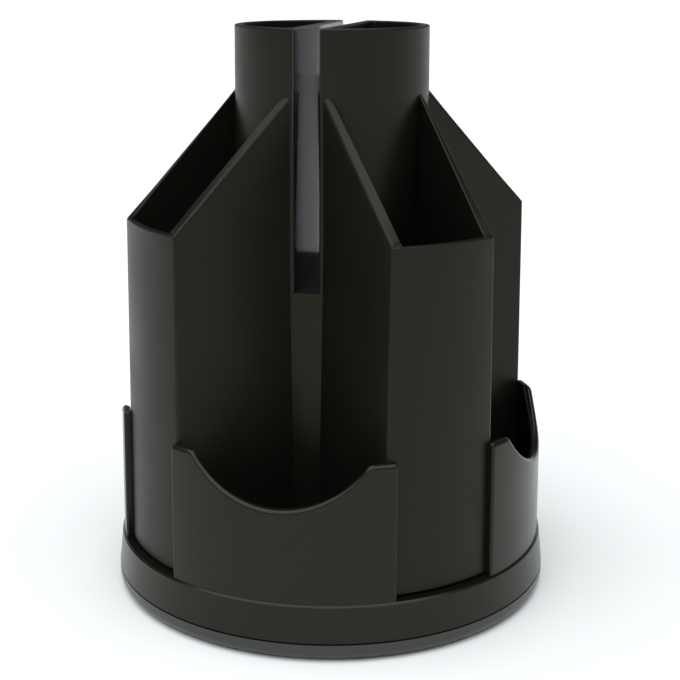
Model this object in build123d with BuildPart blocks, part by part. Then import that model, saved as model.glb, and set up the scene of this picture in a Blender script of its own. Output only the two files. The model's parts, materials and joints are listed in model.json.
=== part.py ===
from build123d import *
from math import cos, radians, sin, sqrt
import os

os.makedirs("parts", exist_ok=True)

# Rotating desk organizer, in millimetres.
# Origin: centre of the underside, on the desk.  +Z is up.  The paper channel runs along Y.
# Four tall pockets stand on the diagonals.  Four scooped walls close the sides between them.
# A foot stays on the desk.  Everything above it turns on a ring of balls and a centre spigot.

# ---------------------------------------------------------------- driving dimensions
# foot
base_radius = 64.1          # widest radius, at the joint between foot and turntable
pad_stand = 0.5             # how far the rubber pads hold the foot off the desk
foot_top = 5.2              # top of the foot's outer ring
foot_ring_width = 2.6
foot_rounding = 2.8
web_bottom = 4.0            # the foot's floor
web_top = 6.0
web_radius = 61.2
pad_radius = 6.0
pad_thickness = 2.0
pad_rounding = 0.4
pad_circle_radius = 50.0
pad_cup_wall = 1.6
rib_width = 1.6
rib_bottom = 1.2
rib_count = 8
rib_turn = 22.5             # azimuth of the first rib, so that the ribs miss the pads
rib_gap = 2.0               # between a rib's inner end and the hub

# turntable tray
joint_gap = 0.5             # visible gap between foot and turntable
band_radius = 63.0          # turntable band, at its top edge
tray_top = 16.0             # floor on which every pocket stands
tray_floor = 2.2
skirt_wall = 2.1
tab_length = 6.0            # locating tabs under the walls, and their slots in the tray
tab_width = 1.4
tab_depth = 1.6
tab_slack = 0.1
pocket_tab_reach = 39.0     # where the tabs of a tall pocket stand, along and across it
pocket_tab_offset = 15.2
scoop_tab_radius = 61.0     # where the tabs of a scooped wall stand
scoop_tab_azimuth = 14.0
band_rounding = 0.5

# pen column
column_top = 162.9
column_radius_top = 27.2
column_radius_foot = 28.2
column_wall = 2.1
channel_width = 6.9
channel_wall = 2.0
channel_floor_top = 92.0
channel_floor = 2.0
lobe_corner = 1.5
screw_post_width = 8.0      # solid posts under the channel, which take the column screws
screw_post_height = 18.0
screw_post_offset = 17.0

# tall pockets
pocket_rim = 110.9          # height of the tall face, and of the outer ends of the side walls
pocket_shoulder = 146.0     # height at which the side walls meet the column
pocket_half_width = 15.8    # outside, from the height of the rim up
pocket_radius = 59.0        # outer face, from the height of the rim up
pocket_draft = 0.015        # outward growth of the outer faces per millimetre below the rim
pocket_corner = 0.5
pocket_face_wall = 2.2
well_start = 20.0           # the well is drawn from inside the column outwards
well_half_column = 13.8     # half its width there
well_half_face = 12.6       # half its width at the tall face
well_corner = 1.2
groove_height = 0.8         # shadow gap under each tall face
groove_depth = 2.2

# scooped walls
scoop_top = 54.5
scoop_radius_top = 61.9
scoop_radius_foot = 62.4
scoop_inner_radius = 59.5
scoop_half_angle = 30.4
scoop_half_chord = 24.4
scoop_depth = 12.6
scoop_shoulder = 2.0        # rounding where the dip runs out into the level ends
lap_slack = 0.1             # between a scooped wall's ends and the tall pockets they lap

# bearing
ball_radius = 3.0
ball_circle_radius = 44.0
ball_count = 12
ball_height = 9.2
race_clearance = 0.3
race_width = 10.0
race_opening = 2.4          # between the two grooved rings
cage_thickness = 1.4
cage_width = 9.0
cage_slack = 0.05

# pivot and screws
spigot_radius = 6.0
spigot_bottom = 3.7
bush_wall = 2.0
bush_flange_radius = 10.5
bush_flange = 0.8
bush_slack = 0.05
hub_radius = 11.0
hub_top = 12.7
washer_radius = 11.0
washer_thickness = 1.2
pivot_shank = 2.0
pivot_head_radius = 4.2
pivot_head = 1.7
pivot_length = 12.0
column_shank = 1.5
column_head_radius = 3.0
column_head = 1.8
column_screw_length = 12.0
screw_slack = 0.05
pilot_spare = 1.0           # how much deeper a pilot hole is than its screw
head_face = 0.7             # flat of a screw head, as a share of its radius
head_side = 0.55            # straight side of a screw head, as a share of its height
recess_width = 0.25         # cross recess, as shares of the head's radius and height
recess_depth = 0.6

# ---------------------------------------------------------------- values worked out from them
skirt_bottom = foot_top + joint_gap
tray_underside = tray_top - tray_floor
column_cavity_radius = column_radius_top - column_wall
channel_half = channel_width / 2
lobe_flat = channel_half + channel_wall
pocket_inner_radius = pocket_radius - pocket_face_wall
pocket_reach = sqrt(pocket_radius**2 - pocket_half_width**2)
shoulder_reach = sqrt(column_radius_top**2 - pocket_half_width**2)
bush_inner_radius = spigot_radius + bush_slack
bush_outer_radius = bush_inner_radius + bush_wall
groove_radius = ball_radius + race_clearance
lower_race_top = ball_height - race_opening / 2
upper_race_bottom = ball_height + race_opening / 2
washer_bottom = spigot_bottom - washer_thickness
diagonals = {1: -45, 2: 45, 3: 135, 4: -135}
sides = {1: -90, 2: 0, 3: 90, 4: 180}


def ring_profile(inner, outer, bottom, top):
    """Rectangle in the XZ plane that a revolve turns into a ring."""
    with BuildSketch(Plane.XZ) as profile:
        with BuildLine():
            Polyline((inner, bottom), (outer, bottom), (outer, top), (inner, top), close=True)
        make_face()
    return profile.sketch


def ball_groove():
    """Circle in the XZ plane that a revolve turns into the groove round the balls."""
    with BuildSketch(Plane.XZ) as section:
        with Locations((ball_circle_radius, ball_height)):
            Circle(groove_radius)
    return section.sketch


def discs(radius, height, places):
    """Discs on a horizontal plane, one at each (x, y) place."""
    with BuildSketch(Plane.XY.offset(height)) as sketch:
        with Locations(*places):
            Circle(radius)
    return sketch.sketch


def polar(radius, azimuth):
    """Point at a radius and an azimuth in degrees."""
    return (radius * cos(radians(azimuth)), radius * sin(radians(azimuth)))


pad_places = [polar(pad_circle_radius, azimuth) for azimuth in diagonals.values()]
column_screw_places = [(0, -screw_post_offset), (0, screw_post_offset)]

pocket_tab_places = [
    (pocket_tab_reach, -pocket_tab_offset),
    (pocket_tab_reach, pocket_tab_offset),
]
scoop_tab_places = [
    polar(scoop_tab_radius, -scoop_tab_azimuth),
    polar(scoop_tab_radius, scoop_tab_azimuth),
]


def tab_plan(places, turn, slack=0.0):
    """Rectangles for the locating tabs or, with slack, for their slots in the tray."""
    with BuildSketch(Plane.XY.offset(tray_top - tab_depth)) as plan:
        for place in places:
            with Locations(place):
                Rectangle(tab_length + 2 * slack, tab_width + 2 * slack, rotation=turn)
    return plan.sketch


# ---------------------------------------------------------------- foot
with BuildPart() as base_pan:
    # floor, outer ring with a rounded lower edge, grooved ring for the balls, hub
    with BuildSketch(Plane.XZ):
        with BuildLine():
            outer_edge = Line((base_radius, foot_top), (base_radius, pad_stand + foot_rounding))
            RadiusArc(
                outer_edge @ 1,
                (base_radius - foot_rounding, pad_stand),
                foot_rounding,
            )
            Polyline(
                (base_radius - foot_rounding, pad_stand),
                (base_radius - foot_rounding - foot_ring_width / 2, pad_stand),
                (base_radius - foot_rounding - foot_ring_width / 2, web_bottom),
                (bush_outer_radius, web_bottom),
                (bush_outer_radius, hub_top),
                (hub_radius, hub_top),
                (hub_radius, web_top),
                (web_radius, web_top),
                (web_radius, foot_top),
                (base_radius, foot_top),
            )
        make_face()
    revolve(axis=Axis.Z)
    # the race stands on the web
    revolve(
        ring_profile(
            ball_circle_radius - race_width / 2,
            ball_circle_radius + race_width / 2,
            web_top,
            lower_race_top,
        ),
        axis=Axis.Z,
    )
    revolve(ball_groove(), axis=Axis.Z, mode=Mode.SUBTRACT)
    # cups that hold the rubber pads
    extrude(discs(pad_radius + pad_cup_wall, rib_bottom, pad_places), amount=web_bottom - rib_bottom)
    extrude(
        discs(pad_radius, rib_bottom, pad_places),
        amount=pad_thickness - rib_bottom,
        mode=Mode.SUBTRACT,
    )
    # stiffening ribs between the pads
    rib_length = web_radius - hub_radius - rib_gap
    rib_middle = hub_radius + rib_gap + rib_length / 2
    with BuildSketch(Plane.XY.offset(rib_bottom)):
        with PolarLocations(rib_middle, rib_count, start_angle=rib_turn):
            Rectangle(rib_length, rib_width)
    extrude(amount=web_bottom - rib_bottom)
base_pan.part.label = "base_pan"
export_step(base_pan.part, "parts/base_pan.step")

for number, place in enumerate(pad_places, start=1):
    with BuildPart() as foot_pad:
        with BuildSketch(Plane.XY):
            with Locations(place):
                Circle(pad_radius)
        extrude(amount=pad_thickness)
        fillet(foot_pad.edges().group_by(Axis.Z)[0], pad_rounding)
    foot_pad.part.label = f"foot_pad_{number}"
    export_step(foot_pad.part, f"parts/foot_pad_{number}.step")

with BuildPart() as pivot_bush:
    with BuildSketch(Plane.XZ):
        with BuildLine():
            Polyline(
                (bush_inner_radius, web_bottom),
                (bush_outer_radius, web_bottom),
                (bush_outer_radius, hub_top),
                (bush_flange_radius, hub_top),
                (bush_flange_radius, hub_top + bush_flange),
                (bush_inner_radius, hub_top + bush_flange),
                close=True,
            )
        make_face()
    revolve(axis=Axis.Z)
pivot_bush.part.label = "pivot_bush"
export_step(pivot_bush.part, "parts/pivot_bush.step")

# ---------------------------------------------------------------- ball bearing
with BuildPart() as ball_cage:
    with BuildSketch(Plane.XY.offset(ball_height - cage_thickness / 2)):
        Circle(ball_circle_radius + cage_width / 2)
        Circle(ball_circle_radius - cage_width / 2, mode=Mode.SUBTRACT)
        with PolarLocations(ball_circle_radius, ball_count):
            Circle(ball_radius + cage_slack, mode=Mode.SUBTRACT)
    extrude(amount=cage_thickness)
ball_cage.part.label = "ball_cage"
export_step(ball_cage.part, "parts/ball_cage.step")

with BuildPart() as bearing_balls:
    with Locations((0, 0, ball_height)):
        with PolarLocations(ball_circle_radius, ball_count):
            Sphere(ball_radius)
bearing_balls.part.label = "bearing_balls"
export_step(bearing_balls.part, "parts/bearing_balls.step")

# ---------------------------------------------------------------- tall pocket, drawn along +X


def pocket_plan(height, half_width, radius, corner):
    """Plan of a tall pocket at a height: two parallel sides closed by an arc about the axis."""
    reach = sqrt(radius**2 - half_width**2)
    with BuildSketch(Plane.XY.offset(height)) as plan:
        with BuildLine():
            Line((0, half_width), (0, -half_width))
            Line((0, -half_width), (reach, -half_width))
            ThreePointArc((reach, -half_width), (radius, 0), (reach, half_width))
            Line((reach, half_width), (0, half_width))
        make_face()
        fillet(plan.vertices().group_by(Axis.X)[-1], corner)
    return plan.sketch


def pocket_envelope(extra):
    """Block on which a tall pocket's outer faces lie: drafted up to the rim, upright above it."""
    growth = pocket_draft * (pocket_rim - tray_top)
    foot_plan = pocket_plan(
        tray_top,
        pocket_half_width + growth + extra,
        pocket_radius + growth + extra,
        pocket_corner,
    )
    rim_plan = pocket_plan(
        pocket_rim,
        pocket_half_width + extra,
        pocket_radius + extra,
        pocket_corner,
    )
    with BuildPart() as envelope:
        loft([foot_plan, rim_plan], ruled=True)
        extrude(rim_plan, amount=pocket_shoulder - pocket_rim)
    return envelope.part


def well_plan():
    """Plan of a tall pocket's well, a little narrower at the tall face than at the column."""
    reach = sqrt(pocket_inner_radius**2 - well_half_face**2)
    with BuildSketch(Plane.XY.offset(tray_top)) as plan:
        with BuildLine():
            Line((well_start, well_half_column), (well_start, -well_half_column))
            Line((well_start, -well_half_column), (reach, -well_half_face))
            ThreePointArc(
                (reach, -well_half_face),
                (pocket_inner_radius, 0),
                (reach, well_half_face),
            )
            Line((reach, well_half_face), (well_start, well_half_column))
        make_face()
        fillet(plan.vertices().group_by(Axis.X)[-1], well_corner)
    return plan.sketch


with BuildPart() as column_envelope:
    with BuildSketch(Plane.XY.offset(tray_top)):
        Circle(column_radius_foot)
    with BuildSketch(Plane.XY.offset(column_top)):
        Circle(column_radius_top)
    loft(ruled=True)

with BuildPart() as pocket:
    add(pocket_envelope(0))
    extrude(well_plan(), amount=pocket_shoulder - tray_top, mode=Mode.SUBTRACT)
    add(column_envelope.part, mode=Mode.SUBTRACT)
    # the side walls slope up from the corners of the tall face to the column
    with BuildSketch(Plane.XZ):
        with BuildLine():
            Polyline(
                (shoulder_reach, pocket_shoulder),
                (pocket_reach, pocket_rim),
                (base_radius, pocket_rim),
                (base_radius, pocket_shoulder),
                close=True,
            )
        make_face()
    extrude(amount=base_radius, both=True, mode=Mode.SUBTRACT)
    # the tall face is level between them
    with BuildSketch(Plane.XY.offset(pocket_rim)):
        with Locations((pocket_inner_radius, 0)):
            Rectangle(2 * well_half_face, 2 * well_half_face)
    extrude(amount=pocket_shoulder - pocket_rim, mode=Mode.SUBTRACT)
    # shadow groove under the tall face
    revolve(
        ring_profile(
            pocket_radius + pocket_draft * (pocket_rim - tray_top) - groove_depth,
            base_radius,
            tray_top,
            tray_top + groove_height,
        ),
        axis=Axis.Z,
        mode=Mode.SUBTRACT,
    )
    # locating tabs under both side walls
    extrude(tab_plan(pocket_tab_places, 0), amount=tab_depth)

for number, azimuth in diagonals.items():
    with BuildPart() as tall_pocket:
        add(pocket.part.rotate(Axis.Z, azimuth))
    tall_pocket.part.label = f"tall_pocket_{number}"
    export_step(tall_pocket.part, f"parts/tall_pocket_{number}.step")

# ---------------------------------------------------------------- scooped wall, drawn along +X
with BuildPart() as scoop:
    # drafted quarter of a ring
    with BuildSketch(Plane.XZ):
        with BuildLine():
            Polyline(
                (scoop_inner_radius, tray_top),
                (scoop_radius_foot, tray_top),
                (scoop_radius_top, scoop_top),
                (scoop_inner_radius, scoop_top),
                close=True,
            )
        make_face()
    revolve(axis=Axis.Z)
    with BuildSketch(Plane.XY.offset(tray_top)):
        with BuildLine():
            far = 2 * base_radius
            Polyline(
                (0, 0),
                polar(far, -scoop_half_angle),
                (far, 0),
                polar(far, scoop_half_angle),
                close=True,
            )
        make_face()
    extrude(amount=scoop_top - tray_top, mode=Mode.INTERSECT)
    # the ends lap the corners of the neighbouring tall pockets
    lapped = pocket_envelope(lap_slack)
    for azimuth in (-45, 45):
        add(lapped.rotate(Axis.Z, azimuth), mode=Mode.SUBTRACT)
    # finger dip, with rounded shoulders
    dip_radius = (scoop_half_chord**2 + scoop_depth**2) / (2 * scoop_depth)
    dip_centre = scoop_top - scoop_depth + dip_radius
    with BuildSketch(Plane.YZ) as dip:
        with Locations((0, dip_centre)):
            Circle(dip_radius)
        with Locations((0, scoop_top + dip_radius)):
            Rectangle(4 * dip_radius, 2 * dip_radius)
        shoulders = [corner for corner in dip.vertices() if abs(corner.X) < dip_radius]
        fillet(shoulders, scoop_shoulder)
    extrude(amount=base_radius, mode=Mode.SUBTRACT)
    extrude(tab_plan(scoop_tab_places, 90), amount=tab_depth)

for number, azimuth in sides.items():
    with BuildPart() as scoop_wall:
        add(scoop.part.rotate(Axis.Z, azimuth))
    scoop_wall.part.label = f"scoop_wall_{number}"
    export_step(scoop_wall.part, f"parts/scoop_wall_{number}.step")

# ---------------------------------------------------------------- pen column
with BuildPart() as pen_column:
    add(column_envelope.part)
    # two D-shaped pen tubes, open from the tray to the top
    with BuildSketch(Plane.XY.offset(tray_top)) as lobes:
        Circle(column_cavity_radius)
        Rectangle(2 * lobe_flat, 2 * column_cavity_radius, mode=Mode.SUBTRACT)
        fillet(lobes.vertices(), lobe_corner)
    extrude(amount=column_top - tray_top, mode=Mode.SUBTRACT)
    # paper channel, right through the column above its floor
    with BuildSketch(Plane.XY.offset(channel_floor_top)):
        Rectangle(channel_width, 4 * column_radius_foot)
    extrude(amount=column_top - channel_floor_top, mode=Mode.SUBTRACT)
    # hollow under the channel floor, with a post at each end for the screws
    hollow = channel_floor_top - channel_floor - tray_top
    with BuildSketch(Plane.XY.offset(tray_top)):
        Rectangle(channel_width, 2 * column_cavity_radius - 2 * channel_wall)
    extrude(amount=hollow, mode=Mode.SUBTRACT)
    with BuildSketch(Plane.XY.offset(tray_top)):
        with Locations(*column_screw_places):
            Rectangle(channel_width, screw_post_width)
    extrude(amount=screw_post_height)
    extrude(
        discs(column_shank + screw_slack, tray_top, column_screw_places),
        amount=column_screw_length - tray_floor + pilot_spare,
        mode=Mode.SUBTRACT,
    )
pen_column.part.label = "pen_column"
export_step(pen_column.part, "parts/pen_column.step")

# ---------------------------------------------------------------- turntable tray
with BuildPart() as turntable_tray:
    # floor and drafted skirt
    with BuildSketch(Plane.XZ):
        with BuildLine():
            Polyline(
                (0, tray_top),
                (band_radius - band_rounding, tray_top),
                (band_radius, tray_top - band_rounding),
                (base_radius, skirt_bottom),
                (base_radius - skirt_wall, skirt_bottom),
                (band_radius - skirt_wall, tray_underside),
                (0, tray_underside),
                close=True,
            )
        make_face()
    revolve(axis=Axis.Z)
    # grooved ring that runs on the balls
    revolve(
        ring_profile(
            ball_circle_radius - race_width / 2,
            ball_circle_radius + race_width / 2,
            upper_race_bottom,
            tray_underside,
        ),
        axis=Axis.Z,
    )
    revolve(ball_groove(), axis=Axis.Z, mode=Mode.SUBTRACT)
    # spigot, with the pilot hole for the pivot screw
    extrude(discs(spigot_radius, spigot_bottom, [(0, 0)]), amount=tray_underside - spigot_bottom)
    extrude(
        discs(pivot_shank + screw_slack, spigot_bottom, [(0, 0)]),
        amount=pivot_length - washer_thickness + pilot_spare,
        mode=Mode.SUBTRACT,
    )
    # clearance holes for the column screws
    extrude(
        discs(column_shank + screw_slack, tray_underside, column_screw_places),
        amount=tray_floor,
        mode=Mode.SUBTRACT,
    )
    # blind slots for the locating tabs of the walls
    for azimuth in diagonals.values():
        extrude(
            tab_plan(pocket_tab_places, 0, tab_slack).rotate(Axis.Z, azimuth),
            amount=tab_depth,
            mode=Mode.SUBTRACT,
        )
    for azimuth in sides.values():
        extrude(
            tab_plan(scoop_tab_places, 90, tab_slack).rotate(Axis.Z, azimuth),
            amount=tab_depth,
            mode=Mode.SUBTRACT,
        )
turntable_tray.part.label = "turntable_tray"
export_step(turntable_tray.part, "parts/turntable_tray.step")

# ---------------------------------------------------------------- screws and washer
with BuildPart() as pivot_washer:
    extrude(discs(washer_radius, washer_bottom, [(0, 0)]), amount=washer_thickness)
    extrude(
        discs(pivot_shank + screw_slack, washer_bottom, [(0, 0)]),
        amount=washer_thickness,
        mode=Mode.SUBTRACT,
    )
pivot_washer.part.label = "pivot_washer"
export_step(pivot_washer.part, "parts/pivot_washer.step")


def pan_head_screw(head_radius, head_height, shank_radius, length, seat):
    """Screw pointing up, with the underside of its head at the height of its seat."""
    with BuildPart() as screw:
        with BuildSketch(Plane.XZ):
            with BuildLine():
                Polyline(
                    (0, seat + length),
                    (0, seat - head_height),
                    (head_radius * head_face, seat - head_height),
                    (head_radius, seat - head_height * head_side),
                    (head_radius, seat),
                    (shank_radius, seat),
                    (shank_radius, seat + length - shank_radius),
                    close=True,
                )
            make_face()
        revolve(axis=Axis.Z)
        # cross recess
        with BuildSketch(Plane.XY.offset(seat - head_height)):
            Rectangle(head_radius, head_radius * recess_width)
            Rectangle(head_radius * recess_width, head_radius)
        extrude(amount=head_height * recess_depth, mode=Mode.SUBTRACT)
    return screw.part


with BuildPart() as pivot_screw:
    add(pan_head_screw(pivot_head_radius, pivot_head, pivot_shank, pivot_length, washer_bottom))
pivot_screw.part.label = "pivot_screw"
export_step(pivot_screw.part, "parts/pivot_screw.step")

with BuildPart() as column_screws:
    column_screw = pan_head_screw(
        column_head_radius,
        column_head,
        column_shank,
        column_screw_length,
        tray_underside,
    )
    for across, along in column_screw_places:
        add(Pos(across, along, 0) * column_screw)
column_screws.part.label = "column_screws"
export_step(column_screws.part, "parts/column_screws.step")
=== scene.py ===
import json
from math import asin, atan2, cos, pi, radians, sin, sqrt

import bmesh
import bpy
from mathutils import Matrix, Vector


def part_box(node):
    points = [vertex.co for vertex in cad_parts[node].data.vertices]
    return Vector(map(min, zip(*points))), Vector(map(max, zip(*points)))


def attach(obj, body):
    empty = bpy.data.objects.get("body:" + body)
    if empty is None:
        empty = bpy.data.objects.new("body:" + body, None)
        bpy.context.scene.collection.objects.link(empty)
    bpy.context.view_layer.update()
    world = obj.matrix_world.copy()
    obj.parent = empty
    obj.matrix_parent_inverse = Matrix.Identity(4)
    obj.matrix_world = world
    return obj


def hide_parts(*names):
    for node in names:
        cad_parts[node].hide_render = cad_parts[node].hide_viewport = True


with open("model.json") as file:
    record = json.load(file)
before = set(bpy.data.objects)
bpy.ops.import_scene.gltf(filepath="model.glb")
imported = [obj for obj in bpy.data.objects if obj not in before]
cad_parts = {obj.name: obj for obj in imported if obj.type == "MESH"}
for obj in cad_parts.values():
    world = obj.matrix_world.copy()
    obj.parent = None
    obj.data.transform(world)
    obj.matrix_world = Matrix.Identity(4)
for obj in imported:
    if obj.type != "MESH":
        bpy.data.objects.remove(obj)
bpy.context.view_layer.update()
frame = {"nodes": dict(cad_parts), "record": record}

# ---------------------------------------------------------------- sizes, in metres
# Heights and radii that the frame gives.
_, column_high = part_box("pen_column")
_, tray_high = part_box("turntable_tray")
_, scoop_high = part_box("scoop_wall_2")
floor_top = tray_high.z
column_top = column_high.z
column_radius_foot = column_high.x
scoop_radius_foot = scoop_high.x
scoop_top = scoop_high.z

# Sizes that a box does not tell, and the roundings of the visible edges.
mm = 0.001
column_radius_top = 27.2 * mm
column_cavity_radius = 25.1 * mm
channel_half = 3.45 * mm
channel_wall = 2.0 * mm
channel_floor = 92.0 * mm
channel_corner = 0.7 * mm
lobe_corner = 1.5 * mm
rim_rounding = 0.5 * mm

pocket_rim = 110.9 * mm
pocket_shoulder = 146.0 * mm
pocket_half_width = 15.8 * mm
pocket_radius = 59.0 * mm
pocket_draft = 0.015
pocket_corner = 0.5 * mm
pocket_face_wall = 2.2 * mm
well_start = 20.0 * mm
well_half_column = 13.8 * mm
well_half_face = 12.6 * mm
well_corner = 1.2 * mm
groove_height = 0.8 * mm
groove_depth = 2.2 * mm
groove_edge = 0.15 * mm
side_recess = 0.02 * mm
side_facing = 0.97
below_rim = 2 * mm
column_overlap = 1.2 * mm
side_rounding = 1.6 * mm
corner_rounding = 0.85 * mm
face_rounding = 0.4 * mm
inner_rounding = 0.35 * mm
top_crown = 0.26 * mm
crown_runout = 0.2  # share of the side wall over which the crown dies out

scoop_radius_top = 61.9 * mm
scoop_inner_radius = 59.5 * mm
lap_slack = 0.1 * mm
lap_rounding = 0.1 * mm
lap_step = 0.002  # radians
scoop_half_angle = radians(30.4)
scoop_lap_angle = radians(29.4)
scoop_half_chord = 24.4 * mm
scoop_depth = 12.6 * mm
scoop_shoulder = 2.0 * mm
scoop_outer_rounding = 1.3 * mm
scoop_inner_rounding = 0.6 * mm
scoop_end_rounding = 0.7 * mm

# Numbers of steps round a rounding, and along the walls.
outer_steps, ridge_steps, inner_steps = 5, 4, 3
side_steps, corner_steps, end_steps = 26, 6, 4
fillet_steps, face_steps = 5, 10
scoop_steps, lap_steps = 90, 3
column_steps = (56, 5, 14)  # arc, corner, flat
rim_steps, gap_steps = 5, 6
touching = 1e-6

up = Vector((0, 0, 1))
# Azimuths in degrees. The front scooped wall stands a little round from its axis.
diagonals = {1: -45, 2: 45, 3: 135, 4: -135}
sides = {1: -89.3, 2: 0, 3: 90, 4: 180}


# ---------------------------------------------------------------- mesh helpers
def lerp(a, b, t):
    return a + (b - a) * t


def spaced(start, end, steps):
    """Evenly spaced values from start to end, both included."""
    return [lerp(start, end, i / steps) for i in range(steps + 1)]


def finish_mesh(name, bm, turn=0.0):
    """Makes a closed, smooth-shaded object, with the turn about the spin axis in its mesh."""
    bmesh.ops.remove_doubles(bm, verts=bm.verts, dist=touching)
    bmesh.ops.recalc_face_normals(bm, faces=bm.faces)
    if bm.calc_volume(signed=True) < 0:
        bmesh.ops.reverse_faces(bm, faces=bm.faces)
    bmesh.ops.rotate(bm, verts=bm.verts, cent=(0, 0, 0), matrix=Matrix.Rotation(turn, 3, "Z"))
    mesh = bpy.data.meshes.new(name)
    bm.to_mesh(mesh)
    bm.free()
    mesh.shade_smooth()
    piece = bpy.data.objects.new(name, mesh)
    bpy.context.scene.collection.objects.link(piece)
    return piece


def keep_creases(piece, angle=40.0):
    """Smooth shading that breaks only at sharp edges."""
    piece.data.set_sharp_from_angle(angle=radians(angle))
    weighted = piece.modifiers.new("even_shading", "WEIGHTED_NORMAL")
    weighted.keep_sharp = True


def strip_solid(stations):
    """Closed solid from stations along a wall, each a ring of points round its section."""
    bm = bmesh.new()
    rings = [[bm.verts.new(point) for point in ring] for ring in stations]
    count = len(rings[0])
    for ring, following in zip(rings, rings[1:]):
        for i in range(count):
            j = (i + 1) % count
            bm.faces.new((ring[i], ring[j], following[j], following[i]))
    bm.faces.new(list(reversed(rings[0])))
    bm.faces.new(rings[-1])
    return bm


# ---------------------------------------------------------------- tall pockets
pocket_reach = sqrt(pocket_radius**2 - pocket_half_width**2)
pocket_inner_radius = pocket_radius - pocket_face_wall
shoulder_reach = sqrt(column_radius_top**2 - pocket_half_width**2)
well_reach = sqrt(pocket_inner_radius**2 - well_half_face**2)
side_slope = (pocket_shoulder - pocket_rim) / (pocket_reach - shoulder_reach)


def side_top(x):
    """Height of a side wall's top at a distance out from the spin axis."""
    return pocket_rim + side_slope * max(pocket_reach - x, 0.0)


def well_half(x):
    """Half the width of the well at a distance out from the spin axis."""
    share = (x - well_start) / (well_reach - well_start)
    return lerp(well_half_column, well_half_face, share)


def rounded(corner, first, second, radius, steps):
    """Points that round a corner between two faces, given their outward normals."""
    centre = corner - radius * (first + second)
    turns = spaced(0, pi / 2, steps)
    return [centre + radius * (cos(t) * first + sin(t) * second) for t in turns]


def pocket_station(outer, out_normal, top_normal, top_height, outer_round, ridge, ridge_round,
                   inner, in_normal, inner_round):
    """One section through a tall pocket's wall, from the foot outside to the foot inside.

    The top runs from the outer edge to a ridge above the well's wall, or straight to the
    well's edge where there is no ridge.
    """
    x, y = outer
    side = Vector((*out_normal, 0))
    ceiling = floor_top + groove_height
    on_side_wall = abs(side.y) > side_facing
    recess = side_recess if on_side_wall else groove_depth

    def outside(z, inset=0.0):
        grow = pocket_draft * (pocket_rim - z) - inset
        return Vector((x, y, z)) + side * grow

    section = [
        outside(floor_top, recess),
        outside(ceiling, recess),
        outside(ceiling, groove_edge),
        outside(ceiling + groove_edge),
        outside(pocket_rim - below_rim),
    ]
    top_corner = Vector((x, y, top_height))
    section += rounded(top_corner, side, top_normal, outer_round, outer_steps)
    if ridge is None:
        section += [section[-1]] * (ridge_steps + 1)
    else:
        inward = Vector((0, -1 if y > 0 else 1, 0))
        section += rounded(ridge, inward, top_normal, ridge_round, ridge_steps)[::-1]
    well_edge = Vector((*inner, pocket_rim))
    if inner_round:
        into = Vector((*in_normal, 0))
        section += rounded(well_edge, into, up, inner_round, inner_steps)[::-1]
    else:
        section += [well_edge] * (inner_steps + 1)
    section.append(Vector((*inner, floor_top)))
    return section


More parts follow.
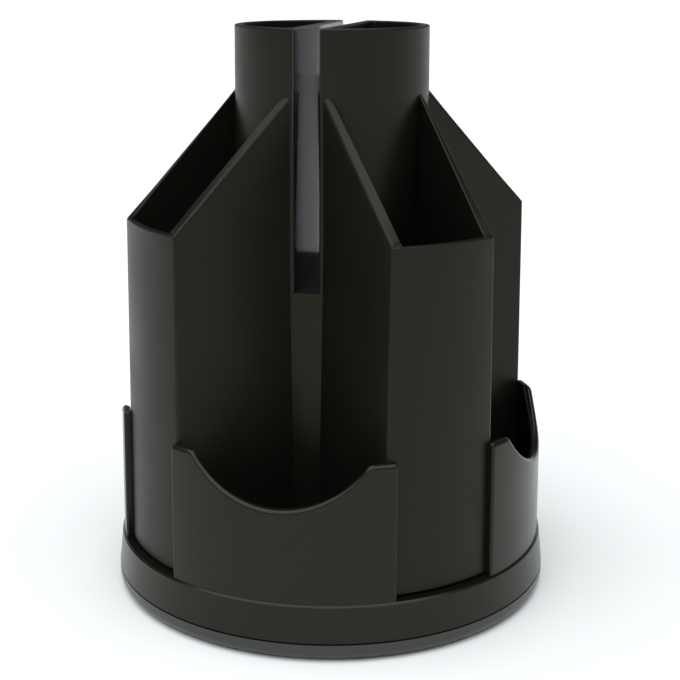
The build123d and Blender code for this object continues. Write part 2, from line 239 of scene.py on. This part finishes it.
def tall_pocket(number, azimuth):
    """Tall pocket as one wall round its well, built by halves along +X and then turned."""
    slope_normal = Vector((side_slope, 0, 1)).normalized()
    half = []
    # side wall, from inside the column's wall to the inner corner
    start_radius = column_radius_top - column_overlap
    outer_start = sqrt(start_radius**2 - pocket_half_width**2)
    inner_start = sqrt(start_radius**2 - well_half_column**2)
    outer_end = pocket_reach - 2 * pocket_corner
    for share in spaced(0, 1, side_steps):
        ox = lerp(outer_start, outer_end, share)
        ix = lerp(inner_start, well_reach, share)
        iy = well_half(ix)
        crown = top_crown * min((1 - share) / crown_runout, 1)
        rounding = lerp(side_rounding, corner_rounding, share)
        ridge = Vector((ix, iy, side_top(ix) + crown))
        half.append(pocket_station(
            (ox, pocket_half_width), (0, 1), slope_normal, side_top(ox) - crown, rounding,
            ridge, inner_rounding, (ix, iy), (0, -1), 0))
    # outer corner, then the end of the side wall on the tall face
    corner_y = pocket_half_width - pocket_corner
    corner_x = sqrt((pocket_radius - pocket_corner) ** 2 - corner_y**2)
    face_angle = atan2(corner_y, corner_x)
    end_angle = asin(well_half_face / pocket_radius)
    outline = [((corner_x + pocket_corner * cos(t), corner_y + pocket_corner * sin(t)),
                (cos(t), sin(t))) for t in spaced(pi / 2, face_angle, corner_steps)]
    outline += [((pocket_radius * cos(t), pocket_radius * sin(t)), (cos(t), sin(t)))
                for t in spaced(face_angle, end_angle, end_steps)[1:]]
    last = len(outline)
    for i, (place, normal) in enumerate(outline, start=1):
        share = i / last
        outward = Vector((*normal, 0))
        top_normal = slope_normal.lerp(up, share).normalized()
        top_normal = (top_normal - top_normal.dot(outward) * outward).normalized()
        rounding = lerp(corner_rounding, face_rounding, min(1.5 * share, 1))
        if i == last:
            ridge = None
        else:
            rx = lerp(well_reach, pocket_radius * cos(end_angle) - face_rounding, share)
            ridge = Vector((rx, well_half_face, side_top(rx)))
        half.append(pocket_station(
            place, normal, top_normal, side_top(place[0]), rounding,
            ridge, inner_rounding * (1 - share), (well_reach, well_half_face), (0, -1), 0))
    # tall face to its middle, with the inner corner rounded
    inner_y = well_half_face - well_corner
    inner_x = sqrt((pocket_inner_radius - well_corner) ** 2 - inner_y**2)
    inner_angle = atan2(inner_y, inner_x)
    well = [((inner_x + well_corner * cos(t), inner_y + well_corner * sin(t)),
             (-cos(t), -sin(t))) for t in spaced(pi / 2, inner_angle, fillet_steps)]
    well += [((pocket_inner_radius * cos(t), pocket_inner_radius * sin(t)),
              (-cos(t), -sin(t))) for t in spaced(inner_angle, 0, face_steps)[1:]]
    for i, (inner, in_normal) in enumerate(well, start=1):
        angle = lerp(end_angle, 0, i / len(well))
        place = (pocket_radius * cos(angle), pocket_radius * sin(angle))
        half.append(pocket_station(
            place, (cos(angle), sin(angle)), up, pocket_rim, face_rounding,
            None, 0, inner, in_normal, inner_rounding * min(i / inner_steps, 1)))
    mirror = Vector((1, -1, 1))
    other_half = [[point * mirror for point in section] for section in reversed(half[:-1])]
    shell = strip_solid(half + other_half)
    piece = finish_mesh(f"tall_pocket_shell_{number}", shell, radians(azimuth))
    keep_creases(piece)
    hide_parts(f"tall_pocket_{number}")
    return piece


# ---------------------------------------------------------------- scooped walls
def scoop_edge(y):
    """Height of a scooped wall's top edge at a distance along it: level, then a round dip."""
    dip_radius = (scoop_half_chord**2 + scoop_depth**2) / (2 * scoop_depth)
    dip_centre = scoop_top - scoop_depth + dip_radius
    shoulder_centre = scoop_top - scoop_shoulder
    reach = dip_radius + scoop_shoulder
    shoulder_y = sqrt(reach**2 - (shoulder_centre - dip_centre) ** 2)
    tangent_y = shoulder_y * dip_radius / reach
    y = abs(y)
    if y >= shoulder_y:
        return scoop_top
    if y >= tangent_y:
        return shoulder_centre + sqrt(scoop_shoulder**2 - (y - shoulder_y) ** 2)
    return dip_centre - sqrt(dip_radius**2 - y * y)


def lap_radius(z):
    """Inner radius of the ends that lap the tall pockets, which follow their draft."""
    return pocket_radius + pocket_draft * (pocket_rim - z) + lap_slack


def scoop_wall(number, azimuth):
    """Curved wall with a finger scoop, thin at both ends where it laps the tall pockets."""
    end_turn = scoop_end_rounding / scoop_radius_top
    inner_span = spaced(-scoop_lap_angle, scoop_lap_angle, scoop_steps)
    lap = spaced(scoop_lap_angle + lap_step, scoop_half_angle - end_turn, lap_steps)
    tip = [scoop_half_angle - end_turn * (1 - sin(t))
           for t in spaced(0, pi / 2, corner_steps)[1:]]
    angles = [-angle for angle in reversed(lap + tip)] + inner_span + lap + tip
    stations = []
    for angle in angles:
        lapped = abs(angle) > scoop_lap_angle + lap_step / 2
        inner_radius = lap_radius(scoop_top) if lapped else scoop_inner_radius
        inner_foot = lap_radius(floor_top) if lapped else scoop_inner_radius
        inner_round = lap_rounding if lapped else scoop_inner_rounding
        # the two ends roll over too
        past = max(abs(angle) - (scoop_half_angle - end_turn), 0) / end_turn
        roll = scoop_end_rounding * (1 - sqrt(max(1 - past * past, 0)))
        outer_top = scoop_edge(scoop_radius_top * sin(angle)) - roll
        inner_top = scoop_edge(inner_radius * sin(angle)) - roll
        share = (outer_top - floor_top) / (scoop_top - floor_top)
        outer_radius = lerp(scoop_radius_foot, scoop_radius_top, share) - roll
        outer_round = min(scoop_outer_rounding, outer_radius - inner_radius - inner_round)

        def point(radius, z):
            return Vector((radius * cos(angle), radius * sin(angle), z))

        ring = [point(scoop_radius_foot - roll, floor_top)]
        for t in spaced(0, pi / 2, corner_steps):
            ring.append(point(outer_radius - outer_round * (1 - cos(t)),
                              outer_top - outer_round * (1 - sin(t))))
        for t in spaced(pi / 2, 0, ridge_steps):
            ring.append(point(inner_radius + inner_round * (1 - cos(t)),
                              inner_top - inner_round * (1 - sin(t))))
        ring.append(point(inner_foot, floor_top))
        stations.append(ring)
    shell = strip_solid(stations)
    piece = finish_mesh(f"scoop_wall_shell_{number}", shell, radians(azimuth))
    keep_creases(piece, 50)
    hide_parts(f"scoop_wall_{number}")
    return piece


# ---------------------------------------------------------------- pen column
def column_radius(z):
    """Outer radius of the pen column, which is drafted."""
    share = (z - floor_top) / (column_top - floor_top)
    return lerp(column_radius_foot, column_radius_top, share)


def d_outline(flat_x, radius, corner, steps_arc, steps_corner, steps_flat):
    """D-shaped plan on the +X side, counter-clockwise from the lower end of its arc."""
    centre_x = flat_x + corner
    centre_y = sqrt((radius - corner) ** 2 - centre_x**2)
    arc_angle = atan2(centre_y, centre_x)
    points = [(radius * cos(a), radius * sin(a)) for a in spaced(-arc_angle, arc_angle, steps_arc)]
    for a in spaced(arc_angle, pi, steps_corner)[1:]:
        points.append((centre_x + corner * cos(a), centre_y + corner * sin(a)))
    for y in spaced(centre_y, -centre_y, steps_flat)[1:]:
        points.append((flat_x, y))
    for a in spaced(-pi, -arc_angle, steps_corner)[1:-1]:
        points.append((centre_x + corner * cos(a), -centre_y + corner * sin(a)))
    return points


def pen_column():
    """Two D-shaped tubes joined below the channel. The channel's faces take the second finish, a
    lighter and glossier copy of the plastic that paints in reflected light.
    """
    bm = bmesh.new()

    def ring(points, z, turned):
        sign = -1 if turned else 1
        return [bm.verts.new((sign * x, sign * y, z)) for x, y in points]

    def wall(lower, upper, count=None):
        for i in range(count or len(lower)):
            j = (i + 1) % len(lower)
            bm.faces.new((lower[i], lower[j], upper[j], upper[i]))

    flat_inside = channel_half + channel_wall
    arc_points = column_steps[0] + 1
    lobes = []
    for turned in (False, True):
        foot = ring(
            d_outline(channel_half, column_radius(floor_top), channel_corner,
                      *column_steps)[:arc_points],
            floor_top, turned)
        shelf = ring(
            d_outline(channel_half, column_radius(channel_floor), channel_corner, *column_steps),
            channel_floor, turned)
        well = ring(
            d_outline(flat_inside, column_cavity_radius, lobe_corner, *column_steps),
            floor_top, turned)
        levels = [shelf]
        # the rim rolls over from the outside, then down into the tube
        for flat_x, radius, corner, inwards, turns in (
                (channel_half, column_radius_top, channel_corner, 1, (0, pi / 2)),
                (flat_inside, column_cavity_radius, lobe_corner, -1, (pi / 2, 0))):
            for t in spaced(*turns, rim_steps):
                inset = inwards * rim_rounding * (1 - cos(t))
                levels.append(ring(
                    d_outline(flat_x + inset, radius - inset, corner, *column_steps),
                    column_top - rim_rounding * (1 - sin(t)), turned))
        levels.append(well)
        wall(foot, shelf[:arc_points], column_steps[0])
        for lower, upper in zip(levels, levels[1:]):
            wall(lower, upper)
        lobes.append((foot, shelf, well))

    # the closed faces of the column below the channel, front and back
    bridges = []
    for a, b in ((0, 1), (1, 0)):
        start_foot, end_foot = lobes[a][0][-1], lobes[b][0][0]
        start_shelf, end_shelf = lobes[a][1][arc_points - 1], lobes[b][1][0]
        columns = [(start_foot, start_shelf)]
        for i in range(1, gap_steps):
            pair = []
            for first, last, z in ((start_foot, end_foot, floor_top),
                                   (start_shelf, end_shelf, channel_floor)):
                a0, a1 = atan2(first.co.y, first.co.x), atan2(last.co.y, last.co.x)
                if a1 < a0:
                    a1 += 2 * pi
                angle = lerp(a0, a1, i / gap_steps)
                radius = column_radius(z)
                pair.append(bm.verts.new((radius * cos(angle), radius * sin(angle), z)))
            columns.append(tuple(pair))
        columns.append((end_foot, end_shelf))
        for (f0, s0), (f1, s1) in zip(columns, columns[1:]):
            bm.faces.new((f0, f1, s1, s0))
        bridges.append(columns)

    # the channel floor, one flat face between the two bridges and the two flats
    floor_loop = []
    for columns, (_, shelf, _) in ((bridges[0], lobes[1]), (bridges[1], lobes[0])):
        floor_loop += [pair[1] for pair in columns[:-1]]
        floor_loop += [shelf[0]] + list(reversed(shelf[arc_points:]))
    bm.faces.new(floor_loop)

    # underside, between the outer circle and the two pen tubes
    bottom_edges = [e for e in bm.edges if len(e.link_faces) == 1
                    and all(abs(v.co.z - floor_top) < touching for v in e.verts)]
    bmesh.ops.triangle_fill(bm, edges=bottom_edges, use_beauty=True)

    channel_edge = channel_half + channel_corner / 2
    for face in bm.faces:
        middle = face.calc_center_median()
        on_floor = abs(middle.z - channel_floor) < touching
        if on_floor or (middle.z > channel_floor and abs(middle.x) < channel_edge):
            face.material_index = 1
    piece = finish_mesh("pen_column_shell", bm)
    keep_creases(piece)
    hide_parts("pen_column")
    return piece


# ---------------------------------------------------------------- materials
def node_material(name):
    material = bpy.data.materials.new(name)
    material.use_nodes = True
    nodes = material.node_tree.nodes
    return material, nodes, material.node_tree.links, nodes["Principled BSDF"]


def clouded(name, scale, detail, colours, colour_range, roughness, gloss_range):
    """Material whose colour and gloss drift between two values along a soft noise."""
    material, nodes, links, shader = node_material(name)
    coords = nodes.new("ShaderNodeTexCoord")
    cloud = nodes.new("ShaderNodeTexNoise")
    cloud.inputs["Scale"].default_value = scale
    cloud.inputs["Detail"].default_value = detail
    links.new(coords.outputs["Object"], cloud.inputs["Vector"])
    tint = nodes.new("ShaderNodeValToRGB")
    for element, position, colour in zip(tint.color_ramp.elements, colour_range, colours):
        element.position = position
        element.color = (*colour, 1)
    links.new(cloud.outputs["Fac"], tint.inputs["Fac"])
    links.new(tint.outputs["Color"], shader.inputs["Base Color"])
    gloss = nodes.new("ShaderNodeMapRange")
    gloss.inputs["From Min"].default_value, gloss.inputs["From Max"].default_value = gloss_range
    gloss.inputs["To Min"].default_value, gloss.inputs["To Max"].default_value = roughness
    links.new(cloud.outputs["Fac"], gloss.inputs["Value"])
    links.new(gloss.outputs["Result"], shader.inputs["Roughness"])
    return material, nodes, links, shader, coords


def moulded_plastic(name, colour, roughness, grain, specular=0.5, specular_tint=(1, 1, 1)):
    """Satin moulded plastic: fine tool grain, faint flow marks and uneven gloss."""
    colours = [[c * 0.88 for c in colour], [c * 1.14 for c in colour]]
    material, nodes, links, shader, coords = clouded(
        name, 38.0, 3.0, colours, (0.3, 0.75), (roughness - 0.035, roughness + 0.045), (0.3, 0.7))
    fine = nodes.new("ShaderNodeTexNoise")
    fine.inputs["Scale"].default_value = 2600.0
    fine.inputs["Detail"].default_value = 2.0
    links.new(coords.outputs["Object"], fine.inputs["Vector"])
    bump = nodes.new("ShaderNodeBump")
    bump.inputs["Strength"].default_value = grain
    bump.inputs["Distance"].default_value = 0.04 * mm
    links.new(fine.outputs["Fac"], bump.inputs["Height"])
    links.new(bump.outputs["Normal"], shader.inputs["Normal"])
    shader.inputs["IOR"].default_value = 1.5
    shader.inputs["Specular IOR Level"].default_value = specular
    shader.inputs["Specular Tint"].default_value = (*specular_tint, 1)
    return material


def metal(name, colour, roughness):
    """Plated or polished steel with a faint unevenness of colour and gloss."""
    colours = [[c * 0.85 for c in colour], [min(c * 1.1, 1) for c in colour]]
    material, _, _, shader, _ = clouded(
        name, 400.0, 4.0, colours, (0, 1), (roughness * 0.7, roughness * 1.4), (0, 1))
    shader.inputs["Metallic"].default_value = 1.0
    return material


# Band and scooped walls, then the column and tall pockets, the channel, and the foot: one
# black plastic whose sheen differs a little from place to place. The channel's and the foot's
# copies are also lighter: painted reflection, not a different plastic.
warm = (1.0, 0.92, 0.74)
body_plastic = moulded_plastic(
    "body_plastic", (0.0066, 0.0058, 0.0044), 0.25, 0.22, 0.28, warm)
tower_plastic = moulded_plastic(
    "tower_plastic", (0.0064, 0.0057, 0.0044), 0.39, 0.22, 0.235, warm)
# lighter, bluer and glossier than the body plastic: painted reflection of the light that shines
# through the channel
channel_painted_reflection = moulded_plastic(
    "channel_painted_reflection", (0.009, 0.0095, 0.01), 0.11, 0.06, 0.62)
# lighter and glossier than the body plastic: painted reflection of the pale floor at the foot
foot_painted_reflection = moulded_plastic(
    "foot_painted_reflection", (0.019, 0.0195, 0.018), 0.3, 0.25, 0.6)
finishes = {
    "body_plastic": body_plastic,
    "acetal": moulded_plastic("acetal", (0.56, 0.54, 0.48), 0.38, 0.2),
    "pad_rubber": moulded_plastic("pad_rubber", (0.012, 0.012, 0.012), 0.72, 0.8),
    "bearing_steel": metal("bearing_steel", (0.6, 0.6, 0.62), 0.12),
    "screw_steel": metal("screw_steel", (0.5, 0.51, 0.53), 0.35),
}

# ---------------------------------------------------------------- the object
for part in frame["record"]["subparts"]:
    node = frame["nodes"][part["node"]]
    node.data.materials.clear()
    # the foot, base_pan, takes the lighter copy with the painted reflection of the floor
    finish = foot_painted_reflection if part["node"] == "base_pan" else finishes[part["material_slot"]]
    node.data.materials.append(finish)

tower = [pen_column()]
tower += [tall_pocket(number, azimuth) for number, azimuth in diagonals.items()]
tower += [scoop_wall(number, azimuth) for number, azimuth in sides.items()]
for piece in tower:
    lower = piece.name.startswith("scoop")
    piece.data.materials.append(body_plastic if lower else tower_plastic)
    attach(piece, "turntable")
tower[0].data.materials.append(channel_painted_reflection)  # its second finish, for the channel: a lighter, glossier copy with painted reflection

# ---------------------------------------------------------------- floor, light, camera
view_azimuth = radians(14.62)
to_viewer = Vector((sin(view_azimuth), -cos(view_azimuth), 0))
to_right = Vector((cos(view_azimuth), sin(view_azimuth), 0))


def studio_floor():
    """Wide matt white floor."""
    bm = bmesh.new()
    bmesh.ops.create_circle(bm, cap_ends=True, segments=96, radius=12.0)
    floor = finish_mesh("studio_floor", bm)
    material, nodes, links, shader = node_material("studio_floor")
    coords = nodes.new("ShaderNodeTexCoord")
    noise = nodes.new("ShaderNodeTexNoise")
    noise.inputs["Scale"].default_value = 3.0
    links.new(coords.outputs["Object"], noise.inputs["Vector"])
    ramp = nodes.new("ShaderNodeValToRGB")
    ramp.color_ramp.elements[0].color = (0.88, 0.885, 0.885, 1)
    ramp.color_ramp.elements[1].color = (0.9, 0.905, 0.905, 1)
    links.new(noise.outputs["Fac"], ramp.inputs["Fac"])
    links.new(ramp.outputs["Color"], shader.inputs["Base Color"])
    shader.inputs["Roughness"].default_value = 0.9
    shader.inputs["Specular IOR Level"].default_value = 0.0
    floor.data.materials.append(material)


def studio_world():
    """Surround that is paler near the horizon and dim above it, and plain white to the camera."""
    world = bpy.data.worlds.new("studio")
    bpy.context.scene.world = world
    world.use_nodes = True
    nodes, links = world.node_tree.nodes, world.node_tree.links
    nodes.clear()
    around = nodes.new("ShaderNodeBackground")
    coords = nodes.new("ShaderNodeTexCoord")
    height = nodes.new("ShaderNodeSeparateXYZ")
    links.new(coords.outputs["Generated"], height.inputs["Vector"])
    fade = nodes.new("ShaderNodeValToRGB")
    fade.color_ramp.elements[0].position = 0.02
    fade.color_ramp.elements[0].color = (0.62, 0.64, 0.66, 1)
    fade.color_ramp.elements[1].position = 0.3
    fade.color_ramp.elements[1].color = (0.1, 0.105, 0.11, 1)
    links.new(height.outputs["Z"], fade.inputs["Fac"])
    links.new(fade.outputs["Color"], around.inputs["Color"])
    seen = nodes.new("ShaderNodeBackground")
    seen.inputs["Color"].default_value = (1, 1, 1, 1)
    path = nodes.new("ShaderNodeLightPath")
    mix = nodes.new("ShaderNodeMixShader")
    links.new(path.outputs["Is Camera Ray"], mix.inputs["Fac"])
    links.new(around.outputs["Background"], mix.inputs[1])
    links.new(seen.outputs["Background"], mix.inputs[2])
    output = nodes.new("ShaderNodeOutputWorld")
    links.new(mix.outputs["Shader"], output.inputs["Surface"])


def overhead_light():
    """One very wide soft light, nearly straight overhead and a little to the front."""
    light = bpy.data.lights.new("overhead", "SUN")
    light.angle = radians(90)
    light.energy = 3.75
    light.color = (0.965, 1.0, 1.01)
    lamp = bpy.data.objects.new("overhead", light)
    towards = to_right * -0.1 + to_viewer * 0.3 + up * 0.95
    lamp.rotation_euler = (-towards).to_track_quat("-Z", "Y").to_euler()
    lamp.location = towards
    bpy.context.scene.collection.objects.link(lamp)


def studio_camera():
    """Stands a little right of the channel's axis and looks slightly down."""
    distance = 401.1 * mm
    height = 181.3 * mm
    pitch = radians(15.3)
    yaw = radians(0.36)
    roll = radians(0.23)
    camera = bpy.data.cameras.new("camera")
    camera.sensor_width = 36
    camera.lens = 74.4
    seat = bpy.data.objects.new("camera", camera)
    seat.location = to_viewer * distance + up * height
    ahead = (Matrix.Rotation(-yaw, 3, "Z") @ -to_viewer) * cos(pitch) - up * sin(pitch)
    facing = ahead.to_track_quat("-Z", "Y").to_matrix() @ Matrix.Rotation(roll, 3, "Z")
    seat.rotation_euler = facing.to_euler()
    camera.clip_start = 0.01
    bpy.context.scene.collection.objects.link(seat)
    bpy.context.scene.camera = seat


studio_floor()
studio_world()
overhead_light()
studio_camera()
bpy.context.scene.view_settings.view_transform = "Standard"
